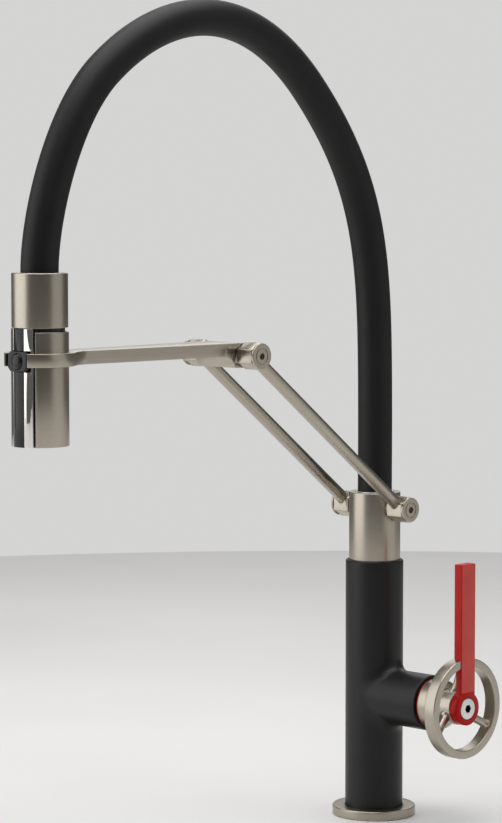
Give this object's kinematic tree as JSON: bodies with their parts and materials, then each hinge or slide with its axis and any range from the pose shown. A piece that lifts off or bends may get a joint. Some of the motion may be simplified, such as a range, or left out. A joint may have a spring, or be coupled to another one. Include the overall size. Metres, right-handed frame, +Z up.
{
  "type": "pull-down kitchen tap",
  "caption": "Tall deck-mounted kitchen tap: black column, arched hose, jointed arm holding a round spray head, and a spoked side handle with a red lever.",
  "frame": {"origin": "centre of the column on the deck plane, at the flange's underside", "axes": "+Z up along the column; the spout reaches towards -Y; the handle is on the +X side"},
  "size_m": [0.1249, 0.3751, 0.5797],
  "materials": {
    "brushed_nickel": "fine brushed, warm grey",
    "matte_black": "matt black powder coat",
    "black_hose": "smooth matt silicone sheath",
    "red_lacquer": "satin red lacquer",
    "polished_steel": "polished",
    "satin_steel": "satin",
    "brass": "machined",
    "seal_rubber": "matt",
    "white_plastic": "moulded",
    "black_plastic": "semi-gloss"
  },
  "bodies": {
    "column": {"base_flange": "brushed_nickel", "deck_gasket": "seal_rubber", "body_column": "matte_black", "base_insert": "brass", "hot_supply_tube": "satin_steel", "cold_supply_tube": "satin_steel", "valve_seat": "brass", "mixing_cartridge": "white_plastic", "cartridge_nut": "brass", "riser_tube": "satin_steel", "swivel_bushing": "white_plastic", "bonnet": "brushed_nickel", "index_ring": "red_lacquer"},
    "handle": {"handle_spindle": "satin_steel", "handwheel": "brushed_nickel", "lever": "red_lacquer", "lever_screw": "satin_steel"},
    "swivel": {"arm_collar": "brushed_nickel", "upper_collar_seal": "seal_rubber", "lower_collar_seal": "seal_rubber", "hose_ferrule": "satin_steel", "hose_nipple": "brass", "lower_right_screw": "brushed_nickel", "lower_left_screw": "brushed_nickel", "spout_hose": "black_hose", "water_line": "white_plastic"},
    "links": {"right_rod": "brushed_nickel", "left_rod": "brushed_nickel", "lower_right_block": "brushed_nickel", "lower_left_block": "brushed_nickel", "upper_right_block": "brushed_nickel", "upper_left_block": "brushed_nickel", "lower_right_washer": "white_plastic", "lower_left_washer": "white_plastic", "upper_right_washer": "white_plastic", "upper_left_washer": "white_plastic"},
    "arm": {"spray_arm": "brushed_nickel", "upper_right_screw": "brushed_nickel", "upper_left_screw": "brushed_nickel"},
    "spray": {"spray_collar": "brushed_nickel", "spray_core": "black_plastic", "rear_shell": "brushed_nickel", "front_panel": "polished_steel", "button_bezel": "black_plastic", "spray_face": "seal_rubber"},
    "button": {"mode_button": "black_plastic"}
  },
  "joints": [
    {"name": "lever_turn", "type": "hinge", "parent": "column", "child": "handle", "pos_m": [0, 0, 0.0876], "axis": [1, 0, 0], "range_deg": [0, 95]},
    {"name": "spout_swivel", "type": "hinge", "parent": "column", "child": "swivel", "pos_m": [0, 0, 0.186], "axis": [0, 0, 1], "range_deg": [-110, 110]},
    {"name": "link_tilt", "type": "hinge", "parent": "swivel", "child": "links", "pos_m": [0, 0, 0.224], "axis": [1, 0, 0], "range_deg": [-12, 18], "deforming": ["spout_hose", "water_line"]},
    {"name": "arm_tilt", "type": "hinge", "parent": "links", "child": "arm", "pos_m": [0, -0.1507, 0.3403], "axis": [1, 0, 0], "range_deg": [-15, 15]},
    {"name": "spray_pull", "type": "slide", "parent": "arm", "child": "spray", "axis": [0, 0, -1], "range_m": [0, 0.04]},
    {"name": "mode_press", "type": "slide", "parent": "spray", "child": "button", "axis": [0, 1, 0], "range_m": [0, 0.0025], "stiffness_N_per_m": 600}
  ]
}
